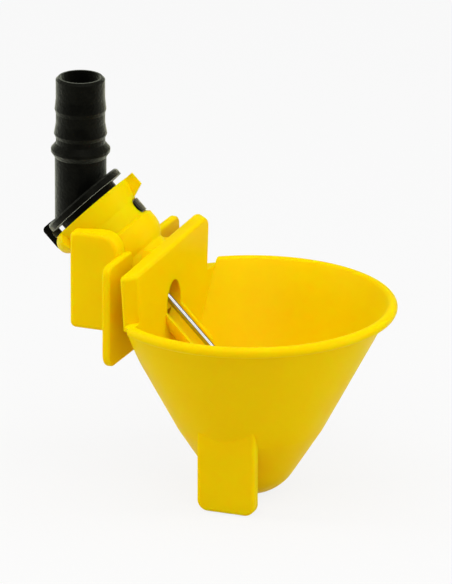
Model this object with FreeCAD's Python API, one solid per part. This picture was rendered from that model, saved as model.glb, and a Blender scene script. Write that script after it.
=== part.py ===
import FreeCAD, Part
import os
from math import atan2, cos, pi, radians, sin, tan
from FreeCAD import Placement, Rotation, Vector

# Poultry drinking cup with a pin valve and a hose tail, in millimetres.
# The origin is the underside of the neck in the middle of the cage slot, where a
# cage wire carries the drinker. +X points to the front of the cup, +Z is up.
# The rim is the plane of the cup's rolled edge. Places along the valve axis are
# counted from the front face of the back wall, up and back into the housing.

# Cage slot, the wall in front of it and the plate behind it
slot_gap = 4.3
back_wall_t = 4.3
back_wall_half_front = 25.5
back_wall_half_back = 29.2
back_wall_taper = 1.8
back_wall_rise = 14.8
back_wall_tilt = 2.0
back_wall_crown_round = 3.0
back_wall_round = 1.1
plate_t = 2.3
plate_half_width = 25.0
plate_rise = 14.7
plate_drop = 14.5
plate_foot_round = 4.0
plate_crown_round = 2.6
plate_round = 0.8

# Cheeks beside the valve housing
cheek_inner_y = 10.3
cheek_t = 5.0
cheek_depth = 13.6
cheek_rise = 20.3
far_cheek_dip = 1.9
cheek_drop = 7.3
cheek_crown_round = 5.0
cheek_foot_round = 1.6
cheek_edge_round = 1.2

# Cup, with depths below the rim
rim_r = 40.0
rim_roll_r = 1.5
cup_setback = 22.5
cup_wall = 1.5
cup_back_t = 2.3
rim_blend = 5.0
rim_overhang = 1.8
knee_r = 20.0
knee_depth = 34.0
bowl_ball_r = 13.95
cup_depth = 53.2

# Foot tab on the near side
foot_face_y = 21.0
foot_t = 3.0
foot_centre = 1.2
foot_width = 16.8
foot_reach = 52.8
foot_top = 24.0
foot_corner_round = 3.0
foot_edge_round = 0.9

# Valve axis, outlet and the open spout under the pin
valve_lean = 45.0
outlet_drop = 2.1
outlet_r = 4.8
outlet_u = 7.0
spout_wall = 1.1
spout_reach = 14.0
spout_sink = 0.9

# Valve housing, which narrows to a neck where it crosses the slot
neck_r = 9.5
neck_end_round = 7.0
body_u = 21.6
body_r = 11.7
shoulder_u = 23.4
barrel_r = 10.8
barrel_u = 24.2
collar_u = 28.6
collar_r = 12.5
housing_top_u = 34.4
guide_r = 3.4
seat_u = 17.2
seal_bore_r = 6.4
socket_floor_u = 23.9
socket_r = 9.3

# Lugs and latch windows of the collar, with angles round the valve axis
lug_start = 20.0
lug_span = 40.0
lug_r = 14.7
lug_t = 3.9
lug_foot = 1.9
round_lug_r = 14.0
window_middle = 17.0
window_span = 40.0
window_low_u = 24.2
window_length = 4.4
window_corner_round = 1.9

# Seat gasket, pin, spring and strainer
gasket_t = 1.8
gasket_bore_r = 1.9
pin_r = 0.9
pin_reach = 28.0
pin_head_r = 3.4
pin_head_t = 1.5
pin_boss_r = 0.8
pin_boss_t = 1.0
pin_swing = 6.0
spring_mean_r = 1.75
spring_wire_r = 0.3
spring_turns = 3.0
strainer_t = 1.2
strainer_top_u = 28.2
strainer_hole_r = 0.5
strainer_hole_ring_r = 3.1
strainer_holes = 8

# Elbow with its plug and flange
fit_gap = 0.2
press_gap = 0.02
chamber_r = 4.6
waterway_r = 3.8
nozzle_r = 6.2
skirt_t = 1.7
skirt_gap_top_u = 32.6
tongue_slot_deg = 6.0
tongue_slot_top_u = 31.6
nose_proud = 0.4
flange_low_u = 36.3
flange_t = 2.1
flange_r = 12.2
flange_round = 0.5
elbow_u = 38.9
arm_start = 172.0
arm_span = 26.0
arm_root_r = 11.2
arm_inner_r = 12.9
arm_outer_r = 14.4
arm_tip_u = 31.7
arm_top_u = 38.9
arm_round = 1.2

# Hose tail, with heights above the rim
tail_r = 6.75
tail_foot_r = 7.05
tail_bore_r = 5.5
tail_top = 59.4
tail_lip_round = 0.7
barb_heights = (50.4, 43.4)
barb_radii = (7.07, 7.27)
barb_ramp = 3.0
barb_step = 1.2
stop_ring_r = 8.1
stop_ring_height = 38.7
stop_ring_half = 0.4
stop_ring_ramp = 1.6

# Places worked out from the dimensions
lean = radians(valve_lean)
cone_rim_r = rim_r - rim_overhang
cone_tilt = atan2(cone_rim_r - knee_r, knee_depth)
wall_back_x = slot_gap / 2
wall_front_x = wall_back_x + back_wall_t
plate_front_x = -slot_gap / 2
plate_back_x = plate_front_x - plate_t
cup_x = wall_front_x + cup_setback
exit_z = neck_r / sin(lean) - wall_front_x / tan(lean)
exit_point = Vector(wall_front_x, 0, exit_z)
rim_z = exit_z + outlet_drop
valve_frame = Placement(exit_point, Rotation(Vector(0, 1, 0), -valve_lean))
tail_x = exit_point.x - elbow_u * sin(lean)
bend_z = exit_point.z + elbow_u * cos(lean)
gasket_top_u = seat_u + gasket_t
head_top_u = gasket_top_u + pin_head_t
skirt_r = socket_r - fit_gap
skirt_inner_r = skirt_r - skirt_t
skirt_low_u = socket_floor_u + fit_gap
flange_top_u = flange_low_u + flange_t
strainer_low_u = strainer_top_u - strainer_t
overlap = 1.0
reach = 4 * rim_r

UP = Vector(0, 0, 1)
ORIGIN = Vector(0, 0, 0)


def in_valve_frame(shape):
    """Move a shape drawn round the vertical axis onto the valve axis."""
    shape.Placement = valve_frame.multiply(shape.Placement)
    return shape


def profile_face(points):
    """Make a flat face from a closed list of (radius, height) points."""
    corners = [Vector(r, 0, z) for r, z in points]
    return Part.Face(Part.makePolygon(corners + corners[:1]))


def turned(points):
    """Turn a closed profile right round the vertical axis."""
    return profile_face(points).revolve(ORIGIN, UP, 360)


def sector(points, start, span):
    """Turn a closed profile through part of a circle."""
    solid = profile_face(points).revolve(ORIGIN, UP, span)
    return turned_by(solid, start)


def turned_by(shape, degrees):
    """Return a copy turned round the vertical axis."""
    copy = shape.copy()
    copy.rotate(ORIGIN, UP, degrees)
    return copy


def rod(radius, low, high):
    """Make a cylinder round the vertical axis between two heights."""
    return Part.makeCylinder(radius, high - low, Vector(0, 0, low))


def block(x_low, x_high, y_half, z_low, z_high):
    """Make a box that is centred across the drinker."""
    corner = Vector(x_low, -y_half, z_low)
    return Part.makeBox(x_high - x_low, 2 * y_half, z_high - z_low, corner)


def in_front_of(x):
    """Make a block that holds everything in front of a plane."""
    return block(x, x + reach, reach, -reach, reach)


def above_u(u):
    """Make a block that holds everything beyond a place on the valve axis."""
    return in_valve_frame(block(-reach, reach, reach, u, reach))


def rounded_plate(corners, radii, thickness):
    """Make a flat plate from corner points, each with its own corner radius."""
    count = len(corners)
    ends = []
    for i in range(count):
        here = corners[i]
        back = (corners[i - 1] - here).normalize()
        ahead = (corners[(i + 1) % count] - here).normalize()
        half = back.getAngle(ahead) / 2
        setback = radii[i] / tan(half)
        inset = radii[i] / sin(half) - radii[i]
        middle = here + (back + ahead).normalize() * inset
        ends.append((here + back * setback, middle, here + ahead * setback))
    edges = []
    for i in range(count):
        first, middle, last = ends[i]
        if radii[i] > 0:
            edges.append(Part.Arc(first, middle, last).toShape())
        edges.append(Part.makeLine(last, ends[(i + 1) % count][0]))
    return Part.Face(Part.Wire(edges)).extrude(thickness)


def edges_on_plane(shape, axis, value):
    """Pick the edges that lie whole in the plane where one coordinate has a value."""
    near = 1e-4
    found = []
    for edge in shape.Edges:
        low = getattr(edge.BoundBox, axis + "Min")
        high = getattr(edge.BoundBox, axis + "Max")
        if abs(low - value) < near and abs(high - value) < near:
            found.append(edge)
    return found


def is_smooth(shape, edge):
    """Tell whether the two faces at an edge run into each other without a corner."""
    first, second = shape.ancestorsOfType(edge, Part.Face)
    point = edge.valueAt(edge.FirstParameter)
    normals = [face.normalAt(*face.Surface.parameter(point)) for face in (first, second)]
    return normals[0].getAngle(normals[1]) < 0.01


def bowl_line(inset):
    """Give the corner, tangent, middle and bottom points of the bowl, inset by a wall."""
    ball_centre = Vector(0, 0, bowl_ball_r - cup_depth)
    ball_r = bowl_ball_r - inset
    knee = Vector(knee_r - inset * cos(cone_tilt), 0, inset * sin(cone_tilt) - knee_depth)
    away = knee - ball_centre
    opening = atan2((away.Length ** 2 - ball_r ** 2) ** 0.5, ball_r)
    touch_angle = atan2(away.z, away.x) - opening
    touch = ball_centre + Vector(cos(touch_angle), 0, sin(touch_angle)) * ball_r
    half_angle = (touch_angle - pi / 2) / 2
    middle = ball_centre + Vector(cos(half_angle), 0, sin(half_angle)) * ball_r
    bottom = ball_centre - UP * ball_r
    return knee, touch, middle, bottom


def cone_point(inset, depth):
    """Give the point of the cone's wall at a depth below the rim."""
    radius = cone_rim_r - depth * tan(cone_tilt) - inset / cos(cone_tilt)
    return Vector(radius, 0, -depth)


def bowl(inset):
    """Turn the filled bowl, inset by a wall, up to the middle of the rolled rim."""
    knee, touch, middle, bottom = bowl_line(inset)
    crest = cone_point(inset, 0)
    edges = [
        Part.Arc(bottom, middle, touch).toShape(),
        Part.makeLine(touch, knee),
        Part.makeLine(knee, crest),
        Part.makeLine(crest, ORIGIN),
        Part.makeLine(ORIGIN, bottom),
    ]
    solid = Part.Face(Part.Wire(edges)).revolve(ORIGIN, UP, 360)
    solid.translate(Vector(cup_x, 0, rim_z))
    return solid


def rim_roll():
    """Give the start, side and end points of the rolled edge, outside to inside."""
    centre = Vector(rim_r - rim_roll_r, 0, 0)
    outward = Vector(cos(cone_tilt), 0, -sin(cone_tilt))
    along = Vector(sin(cone_tilt), 0, cos(cone_tilt))
    offset = (cone_point(0, 0) - centre).dot(outward)
    start = centre + outward * offset - along * (rim_roll_r ** 2 - offset ** 2) ** 0.5
    bow = atan2(start.z - centre.z, start.x - centre.x) / 2 + (pi - cone_tilt) / 2
    side = centre + Vector(cos(bow), 0, sin(bow)) * rim_roll_r
    return start, side, centre - outward * rim_roll_r


def cup_shell():
    """Turn the wall of the cup with its rolled rim."""
    knee, touch, middle, bottom = bowl_line(0)
    knee_in, touch_in, middle_in, bottom_in = bowl_line(cup_wall)
    start, side, end = rim_roll()
    blend = cone_point(cup_wall, rim_blend)
    edges = [
        Part.Arc(bottom, middle, touch).toShape(),
        Part.makeLine(touch, knee),
        Part.makeLine(knee, start),
        Part.Arc(start, side, end).toShape(),
        Part.makeLine(end, blend),
        Part.makeLine(blend, knee_in),
        Part.makeLine(knee_in, touch_in),
        Part.Arc(touch_in, middle_in, bottom_in).toShape(),
        Part.makeLine(bottom_in, bottom),
    ]
    shell = Part.Face(Part.Wire(edges)).revolve(ORIGIN, UP, 360)
    shell.translate(Vector(cup_x, 0, rim_z))
    return shell.common(in_front_of(wall_front_x))


def cup_back():
    """Make the flat back of the cup, below the rim."""
    return bowl(0).common(block(wall_front_x - cup_back_t, wall_front_x, reach, -reach, reach))


def wall_corners(z, narrowing):
    """Give the corners of the back wall at one height, front edge first."""
    front = back_wall_half_front - narrowing
    back = back_wall_half_back - narrowing
    return [
        Vector(wall_front_x, -front, z),
        Vector(wall_front_x, front, z),
        Vector(wall_back_x, back, z),
        Vector(wall_back_x, -back, z),
    ]


def flat_sided(low, high):
    """Make a solid with flat faces between outlines that run anticlockwise from above."""
    rings = [low[::-1], high]
    for i in range(len(low)):
        j = (i + 1) % len(low)
        rings.append([low[i], low[j], high[j], high[i]])
    faces = [Part.Face(Part.makePolygon(ring + ring[:1])) for ring in rings]
    return Part.Solid(Part.Shell(faces))


def back_wall():
    """Make the part of the back wall above the rim, whose crown falls to the near side."""
    low = wall_corners(rim_z - rim_roll_r, back_wall_taper)
    high = wall_corners(rim_z + back_wall_rise, 0)
    wall = flat_sided(low, high)
    crown = edges_on_plane(wall, "Z", high[0].z)
    far_end = max(crown, key=lambda e: e.BoundBox.YMin)
    wall = wall.makeFillet(back_wall_crown_round, [far_end])
    foot = edges_on_plane(wall, "Z", low[0].z)
    edges = [e for e in wall.Edges if not any(e.isSame(f) for f in foot)]
    edges = [e for e in edges if not is_smooth(wall, e)]
    wall = wall.makeFillet(back_wall_round, edges)
    wall.rotate(Vector(0, 0, rim_z), Vector(1, 0, 0), back_wall_tilt)
    return wall


def cage_plate():
    """Make the second plate, behind the cage slot."""
    low = rim_z - plate_drop
    high = rim_z + plate_rise
    half = plate_half_width
    corners = [
        Vector(plate_front_x, -half, low),
        Vector(plate_front_x, half, low),
        Vector(plate_front_x, half, high),
        Vector(plate_front_x, -half, high),
    ]
    foot, crown = plate_foot_round, plate_crown_round
    plate = rounded_plate(corners, [foot, foot, crown, crown], Vector(-plate_t, 0, 0))
    front = edges_on_plane(plate, "X", plate_front_x)
    back = edges_on_plane(plate, "X", plate_back_x)
    return plate.makeFillet(plate_round, front + back)


def cheek(side):
    """Make one cheek; side is -1 for the near one and 1 for the far one."""
    front = plate_back_x + plate_t / 4
    back = plate_back_x - cheek_depth
    low = rim_z - cheek_drop
    high = rim_z + cheek_rise
    if side > 0:
        high -= far_cheek_dip
    y = side * (cheek_inner_y + cheek_t)
    corners = [
        Vector(back, y, low),
        Vector(front, y, low),
        Vector(front, y, high),
        Vector(back, y, high),
    ]
    radii = [cheek_foot_round, 0, cheek_crown_round, cheek_foot_round]
    plate = rounded_plate(corners, radii, Vector(0, -side * cheek_t, 0))
    rim = [e for e in edges_on_plane(plate, "Y", y) if e.BoundBox.XMin < front - 1e-4]
    return plate.makeFillet(cheek_edge_round, rim)


def foot_tab():
    """Make the foot tab under the near side of the cup."""
    left = cup_x + foot_centre - foot_width / 2
    right = left + foot_width
    low = rim_z - foot_reach
    high = rim_z - foot_top
    y = -foot_face_y
    corners = [
        Vector(left, y, low),
        Vector(right, y, low),
        Vector(right, y, high),
        Vector(left, y, high),
    ]
    tab = rounded_plate(corners, [foot_corner_round] * 4, Vector(0, foot_t, 0))
    tab = tab.makeFillet(foot_edge_round, edges_on_plane(tab, "Y", y))
    return tab.cut(bowl(cup_wall / 2))


def housing_outside():
    """Turn the housing: neck, rounded body, barrel and flared collar."""
    centre = Vector(body_r - neck_end_round, 0, body_u)
    drop = (neck_end_round ** 2 - (neck_r - centre.x) ** 2) ** 0.5
    neck_end = Vector(neck_r, 0, body_u - drop)
    bow = atan2(-drop, neck_r - centre.x) / 2
    middle = centre + Vector(cos(bow), 0, sin(bow)) * neck_end_round
    points = [
        Vector(body_r, 0, body_u),
        Vector(body_r, 0, shoulder_u),
        Vector(barrel_r, 0, barrel_u),
        Vector(barrel_r, 0, collar_u),
        Vector(collar_r, 0, housing_top_u),
        Vector(0, 0, housing_top_u),
        ORIGIN,
        Vector(neck_r, 0, 0),
        neck_end,
    ]
    edges = [Part.makeLine(a, b) for a, b in zip(points, points[1:])]
    edges.append(Part.Arc(neck_end, middle, points[0]).toShape())
    housing = Part.Face(Part.Wire(edges)).revolve(ORIGIN, UP, 360)
    return in_valve_frame(housing).cut(in_front_of(wall_front_x - back_wall_t / 2))


def neck():
    """Make the level oval core of the neck, on which the cage wire bears."""
    half_height = neck_r / sin(lean)
    oval = Part.Face(Part.Wire(Part.Ellipse(ORIGIN, half_height, neck_r).toShape()))
    oval.rotate(ORIGIN, Vector(0, 1, 0), 90)
    oval.translate(Vector(plate_front_x, 0, half_height))
    core = oval.extrude(Vector(slot_gap + back_wall_round, 0, 0))
    low = half_height - slot_gap / 2
    sides = block(plate_front_x, wall_back_x, neck_r + fit_gap, low, low + slot_gap)
    crown = rim_z + plate_rise - plate_round / 2
    return core.fuse(sides).common(block(-reach, reach, reach, -reach, crown))


def square_lug():
    """Make the sharp lug at the upper side of the collar."""
    root = barrel_r - overlap
    low = housing_top_u - lug_t
    profile = [
        (root, low - lug_foot),
        (lug_r, low),
        (lug_r, housing_top_u),
        (root, housing_top_u),
    ]
    return sector(profile, lug_start, lug_span)


def round_lug():
    """Make the rounded lug opposite the sharp one."""
    root = Vector(barrel_r - overlap, 0, housing_top_u)
    foot = root - UP * (lug_t + lug_foot)
    crest = Vector(round_lug_r, 0, (root.z + foot.z) / 2)
    edges = [Part.Arc(foot, crest, root).toShape(), Part.makeLine(root, foot)]
    lug = Part.Face(Part.Wire(edges)).revolve(ORIGIN, UP, lug_span)
    return turned_by(lug, lug_start + 180)


def latch_blocks(inner_r, outer_r, gap):
    """Make two rounded blocks for the latch windows, smaller all round by a gap."""
    low = window_low_u + gap
    high = window_low_u + window_length - gap
    trim = gap / barrel_r * 180 / pi
    profile = [(inner_r, low), (outer_r, low), (outer_r, high), (inner_r, high)]
    start = window_middle - window_span / 2 + trim
    first = sector(profile, start, window_span - 2 * trim)
    radial = []
    for edge in first.Edges:
        if isinstance(edge.Curve, Part.Line) and edge.BoundBox.ZLength < 1e-4:
            radial.append(edge)
    first = first.makeFillet(window_corner_round, radial)
    return [first, turned_by(first, 180)]


def spout():
    """Make the half tube that carries the water down under the pin."""
    outer = outlet_r + spout_wall
    tube = rod(outer, -spout_reach, overlap)
    lower = tube.cut(block(-spout_sink, reach, reach, -reach, reach))
    return in_valve_frame(lower).common(in_front_of(wall_front_x - overlap))


def housing_bores():
    """Make the passages of the housing, from the outlet up to the socket."""
    outlet = rod(outlet_r, -spout_reach - overlap, outlet_u)
    guide = rod(guide_r, 0, seat_u + overlap)
    seal_bore = rod(seal_bore_r, seat_u, socket_floor_u + overlap)
    socket = rod(socket_r, socket_floor_u, housing_top_u + overlap)
    return in_valve_frame(outlet.fuse([guide, seal_bore, socket]))


def drinking_cup():
    """Make the one moulding of cup, walls, cheeks, foot, spout and housing."""
    lugs = in_valve_frame(square_lug().fuse(round_lug()))
    windows = latch_blocks(skirt_r, barrel_r + lug_foot, 0)
    windows = in_valve_frame(windows[0].fuse(windows[1]))
    housing = housing_outside().fuse(lugs).cut(windows)
    plates = back_wall().fuse([cage_plate(), neck(), cheek(-1), cheek(1), foot_tab()])
    cup = cup_shell().fuse([cup_back(), spout()])
    solid = cup.fuse([plates, housing]).cut(housing_bores())
    return solid.removeSplitter()


def elbow_plug():
    """Turn the flange, the latch skirt and the nozzle that clamps the gasket."""
    profile = [
        (0, gasket_top_u),
        (nozzle_r, gasket_top_u),
        (nozzle_r, skirt_gap_top_u),
        (skirt_inner_r, skirt_gap_top_u),
        (skirt_inner_r, skirt_low_u),
        (skirt_r, skirt_low_u),
        (skirt_r, flange_low_u),
        (flange_r, flange_low_u),
        (flange_r, flange_top_u - flange_round),
        (flange_r - flange_round, flange_top_u),
        (0, flange_top_u),
    ]
    return turned(profile)


def tongue_slots():
    """Make the slots that free the two latch tongues of the skirt."""
    low = skirt_low_u - overlap
    inner = (nozzle_r + skirt_inner_r) / 2
    outer = skirt_r + overlap
    profile = [
        (inner, low),
        (outer, low),
        (outer, tongue_slot_top_u),
        (inner, tongue_slot_top_u),
    ]
    start = window_middle + window_span / 2
    first = sector(profile, start, tongue_slot_deg)
    second = turned_by(first, -window_span - tongue_slot_deg)
    return [first, second, turned_by(first, 180), turned_by(second, 180)]


def elbow_arm():
    """Make the arm that reaches down over the collar beside its rounded lug."""
    profile = [
        (arm_root_r, flange_low_u),
        (arm_inner_r, flange_low_u),
        (arm_inner_r, arm_tip_u),
        (arm_outer_r, arm_tip_u),
        (arm_outer_r, arm_top_u),
        (arm_root_r, arm_top_u),
    ]
    arm = sector(profile, arm_start, arm_span)
    tips = [e for e in edges_on_plane(arm, "Z", arm_tip_u) if isinstance(e.Curve, Part.Line)]
    top = [e for e in edges_on_plane(arm, "Z", arm_top_u) if isinstance(e.Curve, Part.Circle)]
    outer_top = max(top, key=lambda e: e.Curve.Radius)
    return arm.makeFillet(arm_round, tips + [outer_top])


def tail_outline():
    """Give the outline of the hose tail from its foot to its lip."""
    ring_low = stop_ring_height - stop_ring_half
    ring_high = stop_ring_height + stop_ring_half
    points = [
        (tail_foot_r, bend_z - rim_z - 2 * tail_r),
        (tail_foot_r, ring_low - stop_ring_ramp),
        (stop_ring_r, ring_low),
        (stop_ring_r, ring_high),
        (tail_r, ring_high + stop_ring_ramp),
    ]
    for height, radius in sorted(zip(barb_heights, barb_radii)):
        points.append((tail_r, height - barb_step))
        points.append((radius, height))
        points.append((tail_r, height + barb_ramp))
    points.append((tail_r, tail_top - tail_lip_round))
    points.append((tail_r - tail_lip_round, tail_top))
    return points


def hose_tail():
    """Turn the barbed tail and cut it off inside the flange that carries it."""
    outline = tail_outline()
    tail = turned([(0, outline[0][1])] + outline + [(0, tail_top)])
    tail.translate(Vector(tail_x, 0, rim_z))
    return tail.common(above_u(flange_top_u - flange_t / 2))


def elbow_passages():
    """Make the bore of the tail and the water passages down to the chamber."""
    top = rim_z + tail_top + overlap
    bend = Vector(tail_x, 0, bend_z)
    bore = Part.makeCylinder(tail_bore_r, top - bend_z, bend)
    corner = Part.makeSphere(tail_bore_r, bend).common(above_u(flange_low_u + flange_t / 2))
    chamber = rod(chamber_r, gasket_top_u - overlap, strainer_top_u)
    waterway = rod(waterway_r, strainer_top_u - overlap, elbow_u)
    return bore.fuse([corner, in_valve_frame(chamber.fuse(waterway))])


def inlet_elbow():
    """Make the elbow: tail, flange, plug, latch noses and arm."""
    noses = latch_blocks(skirt_r - skirt_t / 2, barrel_r + nose_proud, fit_gap)
    plug = elbow_plug().cut(Part.makeCompound(tongue_slots()))
    plug = plug.fuse(noses + [elbow_arm()])
    solid = in_valve_frame(plug).fuse(hose_tail()).cut(elbow_passages())
    return solid.removeSplitter()


def seat_gasket():
    """Turn the rubber gasket that the head of the pin closes."""
    edge = gasket_t / 6
    outer_r = seal_bore_r - press_gap
    profile = [
        (gasket_bore_r + edge, seat_u),
        (outer_r, seat_u),
        (outer_r, gasket_top_u),
        (gasket_bore_r, gasket_top_u),
        (gasket_bore_r, seat_u + edge),
    ]
    return in_valve_frame(turned(profile))


def strainer_disc():
    """Make the perforated disc that backs the spring."""
    disc = rod(chamber_r - press_gap, strainer_low_u, strainer_top_u)
    boss = rod(pin_boss_r, strainer_low_u - pin_boss_t, strainer_low_u + strainer_t / 2)
    hole = rod(strainer_hole_r, strainer_low_u - overlap, strainer_top_u + overlap)
    hole.translate(Vector(strainer_hole_ring_r, 0, 0))
    step = 360 / strainer_holes
    holes = [turned_by(hole, i * step) for i in range(strainer_holes)]
    return in_valve_frame(disc.fuse(boss).cut(Part.makeCompound(holes)))


def valve_spring():
    """Wind the closing spring, which leaves room for the head to tip."""
    coil_r = spring_mean_r + spring_wire_r
    tip_room = (pin_head_r + coil_r) * sin(radians(pin_swing)) + press_gap
    low = head_top_u + tip_room + spring_wire_r
    high = strainer_low_u - spring_wire_r
    pitch = (high - low) / spring_turns
    path = Part.Wire(Part.makeHelix(pitch, high - low, spring_mean_r))
    start = Vector(spring_mean_r, 0, 0)
    heading = Vector(0, 2 * pi * spring_mean_r, pitch)
    circle = Part.Wire(Part.makeCircle(spring_wire_r, start, heading))
    coil = path.makePipeShell([circle], True, True)
    coil.translate(UP * low)
    return in_valve_frame(coil)


def trigger_pin():
    """Turn the steel pin with its round tip, valve head and spring boss."""
    profile = [
        (0, pin_r - pin_reach),
        (pin_r, pin_r - pin_reach),
        (pin_r, gasket_top_u),
        (pin_head_r, gasket_top_u),
        (pin_head_r, head_top_u),
        (pin_boss_r, head_top_u),
        (pin_boss_r, head_top_u + pin_boss_t),
        (0, head_top_u + pin_boss_t),
    ]
    tip = Part.makeSphere(pin_r, Vector(0, 0, pin_r - pin_reach))
    return in_valve_frame(turned(profile).fuse(tip).removeSplitter())


def main():
    """Write one file for each piece."""
    os.makedirs("parts", exist_ok=True)
    pieces = {
        "drinking_cup": drinking_cup(),
        "inlet_elbow": inlet_elbow(),
        "seat_gasket": seat_gasket(),
        "strainer_disc": strainer_disc(),
        "valve_spring": valve_spring(),
        "trigger_pin": trigger_pin(),
    }
    for name, shape in pieces.items():
        shape.exportStep("parts/" + name + ".step")
        print(name, shape.isValid(), len(shape.Solids), round(shape.Volume, 1))


main()
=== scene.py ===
import math
from collections import namedtuple

import bpy
from mathutils import Matrix, Vector


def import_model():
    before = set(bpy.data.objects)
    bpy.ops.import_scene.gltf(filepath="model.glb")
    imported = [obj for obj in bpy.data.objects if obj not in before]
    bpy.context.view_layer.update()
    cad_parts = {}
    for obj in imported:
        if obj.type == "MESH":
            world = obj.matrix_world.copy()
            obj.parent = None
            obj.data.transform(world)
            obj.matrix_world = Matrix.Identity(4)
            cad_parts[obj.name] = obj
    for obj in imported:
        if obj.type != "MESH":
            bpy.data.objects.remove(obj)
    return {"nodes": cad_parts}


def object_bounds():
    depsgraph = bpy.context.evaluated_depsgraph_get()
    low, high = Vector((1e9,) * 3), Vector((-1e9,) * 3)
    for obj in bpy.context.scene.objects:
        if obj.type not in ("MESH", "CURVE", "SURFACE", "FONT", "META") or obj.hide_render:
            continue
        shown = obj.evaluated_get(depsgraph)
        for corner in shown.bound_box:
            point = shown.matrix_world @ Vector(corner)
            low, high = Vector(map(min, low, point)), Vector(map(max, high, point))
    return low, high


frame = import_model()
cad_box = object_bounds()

MM = 0.001

# The photograph's view: an almost parallel projection from the front right, looking down
VIEW_AZIMUTH = math.radians(22.5)
VIEW_ELEVATION = math.radians(19.0)
VIEW_HEIGHT = 158.7 * MM
VIEW_DISTANCE = 5.0
TARGET_BEHIND_CUP_FRONT = 47.2 * MM
TARGET_BELOW_HOSE_END = 56.2 * MM
VIEW_TARGET = Vector((
    cad_box[1][0] - TARGET_BEHIND_CUP_FRONT,
    0.0,
    cad_box[1][2] - TARGET_BELOW_HOSE_END,
))

# The camera's sensor in its own millimetres, and the depths that it sees
SENSOR_HEIGHT = 36.0
NEAREST_SEEN = 0.01
FARTHEST_SEEN = 50.0

# The pale studio
FLOOR_HALF_WIDTH = 4.0
FLOOR_GREY = 0.7
FLOOR_GLOW_SHARE = 0.85
SKY_STRENGTH = 0.30

# Soft lamps that face the drinker, placed from its middle by the camera's directions
Softbox = namedtuple("Softbox", "name right up nearer width height watts")
SOFTBOXES = (
    Softbox("top", right=0.0, up=1.0, nearer=0.1, width=1.2, height=1.2, watts=2.5),
    Softbox("key", right=0.0, up=0.62, nearer=0.78, width=1.0, height=1.0, watts=6.5),
    Softbox("left", right=-1.0, up=0.35, nearer=0.0, width=0.24, height=1.1, watts=4.5),
    Softbox("right", right=1.0, up=0.35, nearer=0.25, width=0.34, height=1.1, watts=4.0),
)


def grey(value):
    """Give a grey as a colour."""
    return (value, value, value, 1.0)


class Finish:
    """A node material in the making."""

    def __init__(self, name):
        self.material = bpy.data.materials.new(name)
        self.material.use_nodes = True
        self.nodes = self.material.node_tree.nodes
        self.links = self.material.node_tree.links
        self.shader = self.nodes["Principled BSDF"]

    def set(self, values):
        """Set shader inputs that are the same all over the surface."""
        for socket, value in values.items():
            self.shader.inputs[socket].default_value = value

    def noise(self, scale, detail, roughness, stretch=None):
        """Add noise in object coordinates, squeezed along each axis if asked."""
        place = self.nodes.new("ShaderNodeTexCoord").outputs["Object"]
        if stretch is not None:
            mapping = self.nodes.new("ShaderNodeMapping")
            mapping.inputs["Scale"].default_value = stretch
            self.links.new(place, mapping.inputs["Vector"])
            place = mapping.outputs["Vector"]
        texture = self.nodes.new("ShaderNodeTexNoise")
        texture.inputs["Scale"].default_value = scale
        texture.inputs["Detail"].default_value = detail
        texture.inputs["Roughness"].default_value = roughness
        self.links.new(place, texture.inputs["Vector"])
        return texture.outputs["Fac"]

    def vary(self, socket, noise, low, high, start=0.3, end=0.7):
        """Take a shader input from low to high as the noise goes from start to end."""
        ramp = self.nodes.new("ShaderNodeValToRGB")
        first, last = ramp.color_ramp.elements
        first.position = start
        first.color = low
        last.position = end
        last.color = high
        self.links.new(noise, ramp.inputs["Fac"])
        self.links.new(ramp.outputs["Color"], self.shader.inputs[socket])

    def bump(self, noise, strength, depth):
        """Raise and lower the surface with the noise."""
        node = self.nodes.new("ShaderNodeBump")
        node.inputs["Strength"].default_value = strength
        node.inputs["Distance"].default_value = depth
        self.links.new(noise, node.inputs["Height"])
        self.links.new(node.outputs["Normal"], self.shader.inputs["Normal"])

    def combine(self, operation, first, second):
        """Add a math node on two outputs and return what it gives."""
        node = self.nodes.new("ShaderNodeMath")
        node.operation = operation
        self.links.new(first, node.inputs[0])
        self.links.new(second, node.inputs[1])
        return node.outputs[0]

    def scaled(self, output, factor):
        """Add a math node that multiplies an output by a number."""
        node = self.nodes.new("ShaderNodeMath")
        node.operation = "MULTIPLY"
        self.links.new(output, node.inputs[0])
        node.inputs[1].default_value = factor
        return node.outputs[0]


def yellow_plastic():
    """Moulded yellow plastic: nearly matt, translucent and faintly mottled."""
    deep = (0.920, 0.643, 0.0, 1.0)
    pale = (0.940, 0.673, 0.0, 1.0)
    finish = Finish("yellow_plastic_moulded")
    clouds = finish.noise(scale=45.0, detail=3.0, roughness=0.5)
    finish.vary("Base Color", clouds, deep, pale)
    smudges = finish.noise(scale=110.0, detail=5.0, roughness=0.6)
    finish.vary("Roughness", smudges, grey(0.36), grey(0.48), end=0.75)
    skin = finish.noise(scale=900.0, detail=4.0, roughness=0.6)
    finish.bump(skin, strength=0.12, depth=0.05 * MM)
    finish.set({
        "IOR": 1.49,
        "Specular IOR Level": 0.03,
        "Subsurface Weight": 0.8,
        "Subsurface Radius": (1.0, 0.34, 0.02),
        "Subsurface Scale": 3.0 * MM,
    })
    return finish.material


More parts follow.
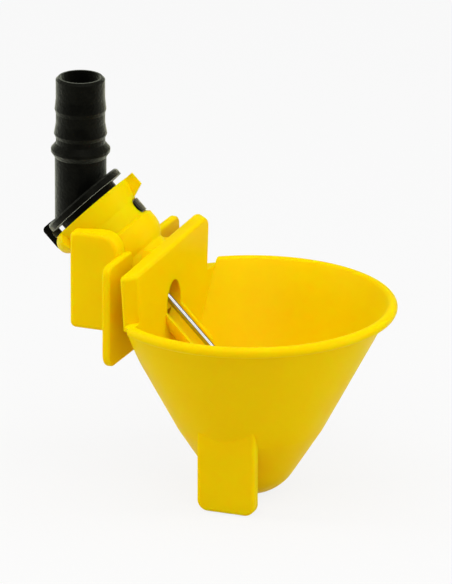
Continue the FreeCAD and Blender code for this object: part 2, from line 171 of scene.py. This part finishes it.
def black_plastic():
    """Moulded black plastic with grainy skin, faint marks and a haze at its edges."""
    black = (0.0004, 0.0004, 0.0003, 1.0)
    dusty = (0.0040, 0.0040, 0.0028, 1.0)
    finish = Finish("black_plastic_moulded")
    clouds = finish.noise(scale=240.0, detail=5.0, roughness=0.65)
    finish.vary("Base Color", clouds, black, dusty, start=0.4)
    marks = finish.noise(scale=160.0, detail=6.0, roughness=0.65)
    finish.vary("Roughness", marks, grey(0.26), grey(0.40), end=0.75)
    skin = finish.noise(scale=1100.0, detail=5.0, roughness=0.6)
    finish.bump(skin, strength=0.7, depth=0.25 * MM)
    finish.set({
        "IOR": 1.5,
        "Specular IOR Level": 0.03,
        "Specular Tint": (1.0, 1.0, 0.82, 1.0),
        "Sheen Weight": 0.9,
        "Sheen Roughness": 0.33,
        "Sheen Tint": (0.95, 1.0, 0.78, 1.0),
    })
    return finish.material


def drawn_steel():
    """Bright stainless steel with fine lines along the pin, dark where it is seen edge-on."""
    dark = (0.50, 0.50, 0.50, 1.0)
    light = (0.58, 0.58, 0.57, 1.0)
    finish = Finish("stainless_drawn")
    lines = finish.noise(scale=260.0, detail=4.0, roughness=0.6, stretch=(1.0, 6.0, 1.0))
    finish.vary("Base Color", lines, dark, light)
    finish.vary("Roughness", lines, grey(0.05), grey(0.09))
    finish.bump(lines, strength=0.03, depth=0.01 * MM)
    finish.set({
        "Metallic": 1.0,
        "Specular Tint": grey(0.0),
    })
    return finish.material


def gasket_rubber():
    """Matt black rubber with a trace of dust."""
    finish = Finish("rubber_matt")
    dust = finish.noise(scale=300.0, detail=5.0, roughness=0.6)
    finish.vary("Base Color", dust, grey(0.020), grey(0.032), end=0.8)
    finish.bump(dust, strength=0.2, depth=0.05 * MM)
    finish.set({"Roughness": 0.75})
    return finish.material


def white_plastic():
    """Matt off-white moulded plastic."""
    cream = (0.72, 0.72, 0.69, 1.0)
    pale = (0.80, 0.80, 0.78, 1.0)
    finish = Finish("white_plastic_moulded")
    clouds = finish.noise(scale=120.0, detail=3.0, roughness=0.5)
    finish.vary("Base Color", clouds, cream, pale)
    finish.vary("Roughness", clouds, grey(0.45), grey(0.60))
    skin = finish.noise(scale=900.0, detail=4.0, roughness=0.6)
    finish.bump(skin, strength=0.15, depth=0.05 * MM)
    return finish.material


def dress_nodes():
    """Give every CAD node its finished material."""
    steel = drawn_steel()
    looks = {
        "drinking_cup": yellow_plastic(),
        "inlet_elbow": black_plastic(),
        "seat_gasket": gasket_rubber(),
        "strainer_disc": white_plastic(),
        "valve_spring": steel,
        "trigger_pin": steel,
    }
    for name, material in looks.items():
        for slot in frame["nodes"][name].material_slots:
            slot.material = material


def floor_material():
    """Matt pale grey that glows white to the camera and in reflections, and keeps a shadow."""
    finish = Finish("floor_pale")
    finish.set({
        "Base Color": grey(FLOOR_GREY),
        "Roughness": 1.0,
        "Specular IOR Level": 0.0,
    })
    glow = finish.nodes.new("ShaderNodeEmission")
    glow.inputs["Color"].default_value = grey(1.0)
    path = finish.nodes.new("ShaderNodeLightPath")
    glossy = path.outputs["Is Glossy Ray"]
    through = path.outputs["Is Transmission Ray"]
    straight = path.outputs["Is Camera Ray"]
    seen = finish.combine("MAXIMUM", straight, finish.combine("MAXIMUM", glossy, through))
    mix = finish.nodes.new("ShaderNodeMixShader")
    finish.links.new(finish.scaled(seen, FLOOR_GLOW_SHARE), mix.inputs["Fac"])
    finish.links.new(finish.shader.outputs["BSDF"], mix.inputs[1])
    finish.links.new(glow.outputs["Emission"], mix.inputs[2])
    finish.links.new(mix.outputs["Shader"], finish.nodes["Material Output"].inputs["Surface"])
    return finish.material


def floor():
    """Lay a plain pale floor at the drinker's lowest point."""
    low = cad_box[0][2]
    half = FLOOR_HALF_WIDTH
    corners = [(-half, -half, low), (half, -half, low), (half, half, low), (-half, half, low)]
    mesh = bpy.data.meshes.new("floor")
    mesh.from_pydata(corners, [], [(0, 1, 2, 3)])
    mesh.materials.append(floor_material())
    plane = bpy.data.objects.new("floor", mesh)
    bpy.context.scene.collection.objects.link(plane)


def world():
    """Add a little even light from all round."""
    sky = bpy.data.worlds.new("studio")
    sky.use_nodes = True
    background = sky.node_tree.nodes["Background"]
    background.inputs["Color"].default_value = grey(1.0)
    background.inputs["Strength"].default_value = SKY_STRENGTH
    bpy.context.scene.world = sky


def view_axes():
    """Give the directions to the camera's right, to its top and towards the camera."""
    turn_sine, turn_cosine = math.sin(VIEW_AZIMUTH), math.cos(VIEW_AZIMUTH)
    rise_sine, rise_cosine = math.sin(VIEW_ELEVATION), math.cos(VIEW_ELEVATION)
    right = Vector((turn_cosine, turn_sine, 0.0))
    up = Vector((-turn_sine * rise_sine, turn_cosine * rise_sine, rise_cosine))
    nearer = Vector((turn_sine * rise_cosine, -turn_cosine * rise_cosine, rise_sine))
    return right, up, nearer


def add_softbox(box):
    """Add an area lamp that faces the middle of the drinker."""
    right, up, nearer = view_axes()
    away = right * box.right + up * box.up + nearer * box.nearer
    data = bpy.data.lights.new(box.name, "AREA")
    data.shape = "RECTANGLE"
    data.size = box.width
    data.size_y = box.height
    data.energy = box.watts
    lamp = bpy.data.objects.new(box.name, data)
    lamp.location = VIEW_TARGET + away
    lamp.rotation_euler = away.to_track_quat("Z", "Y").to_euler()
    bpy.context.scene.collection.objects.link(lamp)


def camera():
    """Set the camera at the photograph's angle, far away with a long lens."""
    right, up, nearer = view_axes()
    data = bpy.data.cameras.new("camera")
    data.sensor_fit = "VERTICAL"
    data.sensor_height = SENSOR_HEIGHT
    data.lens = SENSOR_HEIGHT * VIEW_DISTANCE / VIEW_HEIGHT
    data.clip_start = NEAREST_SEEN
    data.clip_end = FARTHEST_SEEN
    eye = bpy.data.objects.new("camera", data)
    turn = Matrix((right, up, nearer)).transposed().to_4x4()
    eye.matrix_world = Matrix.Translation(VIEW_TARGET + nearer * VIEW_DISTANCE) @ turn
    bpy.context.scene.collection.objects.link(eye)
    bpy.context.scene.camera = eye


dress_nodes()
camera()
floor()
world()
for box in SOFTBOXES:
    add_softbox(box)
bpy.context.scene.view_settings.view_transform = "Standard"
